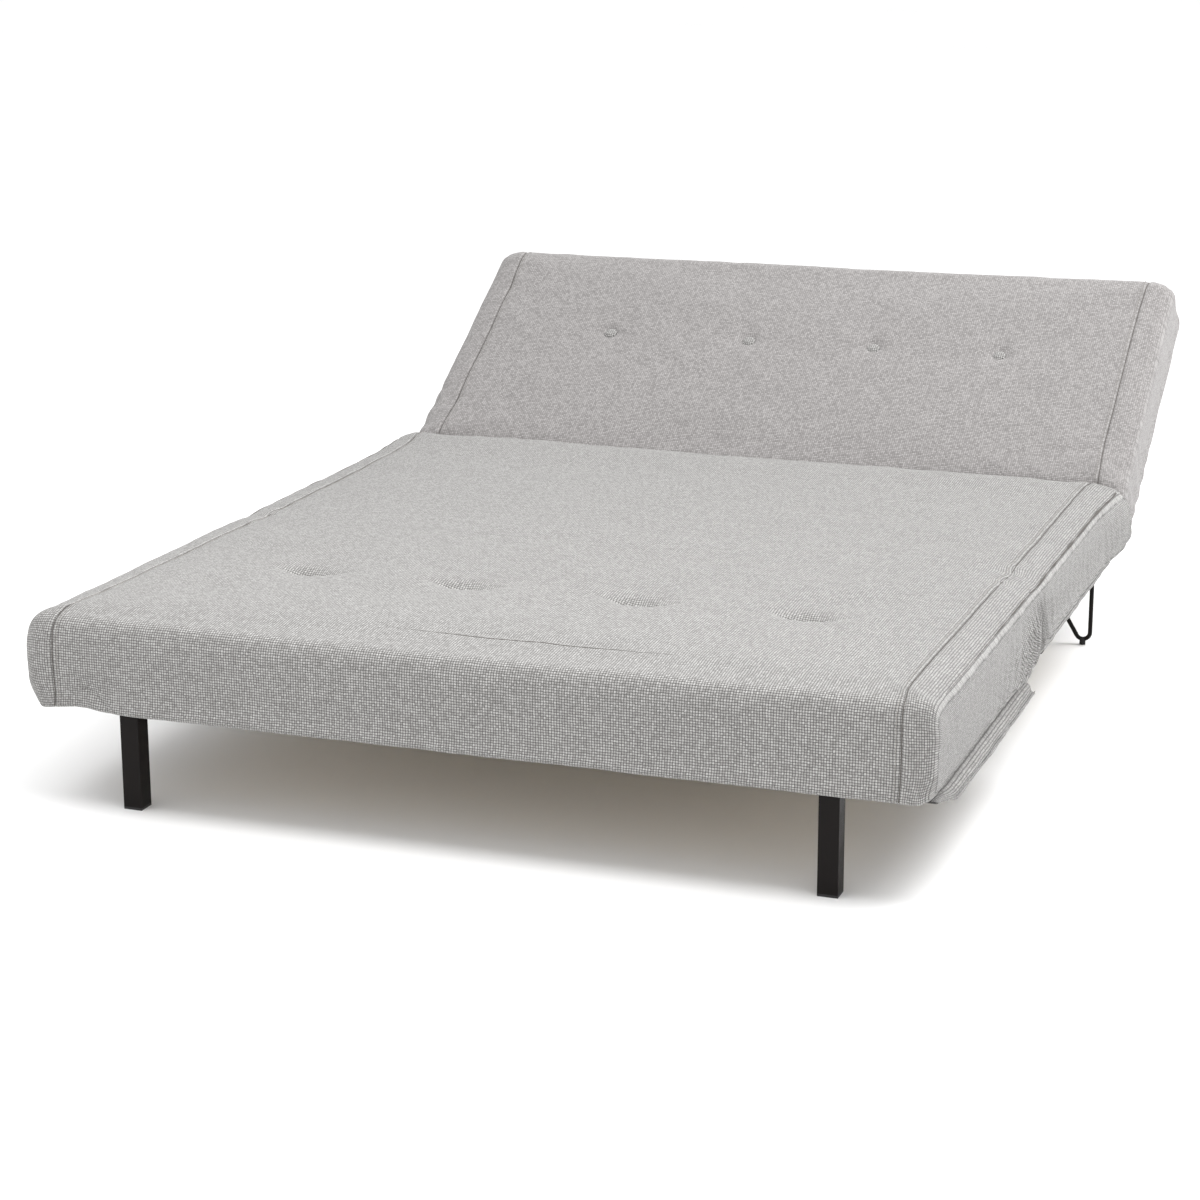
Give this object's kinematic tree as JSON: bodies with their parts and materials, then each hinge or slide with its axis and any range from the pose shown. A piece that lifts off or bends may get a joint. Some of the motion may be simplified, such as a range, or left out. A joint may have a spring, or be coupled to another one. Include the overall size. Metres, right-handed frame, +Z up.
{
  "type": "fold-out sofa bed",
  "caption": "Wide fold-out sofa bed: padded sections on a steel frame, square front legs, bent rod rear legs and a reclining buttoned back.",
  "frame": {"origin": "on the floor, at the middle of the overall footprint with the bed unfolded and its back raised", "axes": "+X to the sitter's left, +Y from the front of the bed to the back, +Z up"},
  "size_m": [1.4, 2.0193, 0.598],
  "materials": {
    "upholstery": "matte",
    "buttons": "matte",
    "lining": "matte",
    "steel": "satin",
    "zinc": "satin",
    "slats": "satin",
    "plastic": "matte",
    "rubber_feet": "matte"
  },
  "bodies": {
    "base": {"base_rail_left": "steel", "base_rail_right": "steel", "base_front_bar": "steel", "base_rear_bar": "steel", "leg_plate_left": "steel", "leg_plate_right": "steel", "rear_leg_left": "steel", "rear_leg_right": "steel", "rear_foot_left": "rubber_feet", "rear_foot_right": "rubber_feet", "base_slats": "slats", "base_slat_holders": "plastic", "guide_plate_left": "steel", "guide_plate_right": "steel", "guide_shoes_left": "plastic", "guide_shoes_right": "plastic", "hinge_bracket_left": "steel", "hinge_bracket_right": "steel", "hinge_pin_left": "zinc", "hinge_pin_right": "zinc", "bracket_bolts": "zinc", "base_end_caps": "plastic", "middle_cushion": "upholstery"},
    "front_frame": {"front_bar": "steel", "side_arm_left": "steel", "side_arm_right": "steel", "slide_beam_left": "steel", "slide_beam_right": "steel", "front_leg_left": "steel", "front_leg_right": "steel", "leg_foot_left": "plastic", "leg_foot_right": "plastic", "leg_bolts": "zinc", "front_slats": "slats", "front_slat_holders": "plastic", "arm_sleeve_left": "upholstery", "arm_sleeve_right": "upholstery", "frame_end_caps": "plastic"},
    "seat": {"front_cushion": "upholstery", "seat_buttons": "buttons"},
    "back": {"back_rail_left": "steel", "back_rail_right": "steel", "back_bottom_bar": "steel", "back_top_bar": "steel", "back_slats": "slats", "back_slat_holders": "plastic", "hinge_arm_left": "steel", "hinge_arm_right": "steel", "arm_bolts": "zinc", "back_cushion": "upholstery", "back_buttons": "buttons", "back_dust_cover": "lining"}
  },
  "joints": [
    {"name": "front_pull_out", "type": "slide", "parent": "base", "child": "front_frame", "axis": [0, 1, 0], "range_m": [0, 0.7]},
    {"name": "seat_fold", "type": "hinge", "parent": "base", "child": "seat", "pos_m": [0, -0.28571, 0.312], "axis": [-1, 0, 0], "range_deg": [0, 180]},
    {"name": "back_recline", "type": "hinge", "parent": "base", "child": "back", "pos_m": [0, 0.49429, 0.25], "axis": [1, 0, 0], "range_deg": [-32, 43]}
  ]
}
